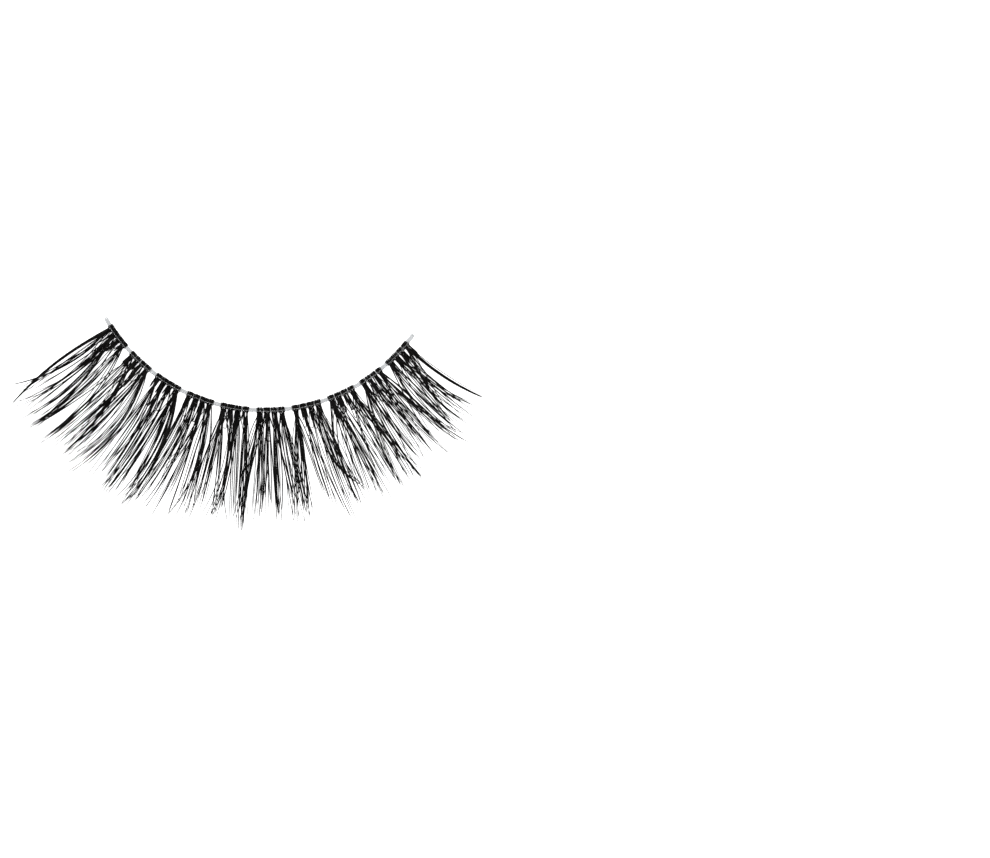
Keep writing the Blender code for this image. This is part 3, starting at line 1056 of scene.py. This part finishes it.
class EYELASH_OT_stage(bpy.types.Operator):
    """Sets the pale floor, the soft light and the camera straight above"""

    bl_idname = "eyelash.stage"
    bl_label = "Stage"

    def execute(self, context):
        add_floor(context.scene.eyelash_colours.floor)
        add_light(context.scene)
        add_camera(context.scene)
        return {"FINISHED"}


# The floor glows, as a light table does, so that it stays white between the hairs.
WHITE = (1.0, 1.0, 1.0, 1.0)
FLOOR_HALF_SIZE = 3.0
FLOOR_ROUGHNESS = 0.8
FLOOR_GLOW = 1.0
WORLD_STRENGTH = 1.0
LAMP_PLACE = (-0.35, 0.45, 0.85)
LAMP_SIZE = 0.45
LAMP_POWER = 5.0


def add_floor(tint):
    material, _, shader = new_material("pale_floor")
    shader.inputs["Base Color"].default_value = tint
    shader.inputs["Roughness"].default_value = FLOOR_ROUGHNESS
    shader.inputs["Emission Color"].default_value = tint
    shader.inputs["Emission Strength"].default_value = FLOOR_GLOW
    bm = bmesh.new()
    bmesh.ops.create_grid(bm, x_segments=1, y_segments=1, size=FLOOR_HALF_SIZE)
    mesh = as_mesh(bm, "floor")
    mesh.materials.append(material)
    floor = bpy.data.objects.new("floor", mesh)
    bpy.context.scene.collection.objects.link(floor)
    floor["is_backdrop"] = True


def add_light(scene):
    scene.view_settings.view_transform = "Standard"
    world = bpy.data.worlds.new("soft_white")
    world.use_nodes = True
    background = world.node_tree.nodes["Background"]
    background.inputs["Color"].default_value = WHITE
    background.inputs["Strength"].default_value = WORLD_STRENGTH
    scene.world = world
    lamp = bpy.data.lights.new("soft_lamp", "AREA")
    lamp.energy = LAMP_POWER
    lamp.size = LAMP_SIZE
    holder = bpy.data.objects.new("soft_lamp", lamp)
    holder.location = LAMP_PLACE
    holder.rotation_euler = Vector(LAMP_PLACE).to_track_quat("Z", "Y").to_euler()
    scene.collection.objects.link(holder)


def add_camera(scene):
    """A camera straight above the middle of the photograph, with the photograph's width."""
    data = bpy.data.cameras.new("camera")
    data.lens = CAMERA_LENS
    data.sensor_width = SENSOR_WIDTH
    camera = bpy.data.objects.new("camera", data)
    right = (PHOTO_MIDDLE[0] - ARC_AXIS_PIXEL[0]) * PIXEL_SIZE
    down = (PHOTO_MIDDLE[1] - ARC_AXIS_PIXEL[1]) * PIXEL_SIZE
    height = PHOTO_WIDTH * PIXEL_SIZE / SENSOR_WIDTH * CAMERA_LENS
    camera.location = ARC_AXIS + Vector((right, -down, height))
    scene.collection.objects.link(camera)
    scene.camera = camera


OPERATORS = (
    EYELASH_OT_clear_band,
    EYELASH_OT_binding_thread,
    EYELASH_OT_hairs,
    EYELASH_OT_knots,
    EYELASH_OT_stage,
)


class EYELASH_PT_sidebar(bpy.types.Panel):
    """Lists the strip's pieces, sizes and colours"""

    bl_idname = "EYELASH_PT_sidebar"
    bl_label = "Eyelash Strip"
    bl_space_type = "VIEW_3D"
    bl_region_type = "UI"
    bl_category = "Eyelash"

    def draw(self, context):
        for group in (context.scene.eyelash_sizes, context.scene.eyelash_colours):
            box = self.layout.box()
            for name in group.__annotations__:
                box.prop(group, name)
        for operator in OPERATORS:
            self.layout.operator(operator.bl_idname)


CLASSES = (EyelashSizes, EyelashColours, *OPERATORS, EYELASH_PT_sidebar)


def register():
    for item in CLASSES:
        bpy.utils.register_class(item)
    bpy.types.Scene.eyelash_sizes = PointerProperty(type=EyelashSizes)
    bpy.types.Scene.eyelash_colours = PointerProperty(type=EyelashColours)


def unregister():
    del bpy.types.Scene.eyelash_colours
    del bpy.types.Scene.eyelash_sizes
    for item in reversed(CLASSES):
        bpy.utils.unregister_class(item)


def main():
    register()
    bpy.ops.eyelash.clear_band()
    bpy.ops.eyelash.binding_thread()
    bpy.ops.eyelash.hairs()
    bpy.ops.eyelash.knots()
    bpy.ops.eyelash.stage()
    boxes = {"cad": CAD_BOX, "visual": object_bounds()}
    plain = {name: [list(corner) for corner in box] for name, box in boxes.items()}


if __name__ == "__main__":
    main()
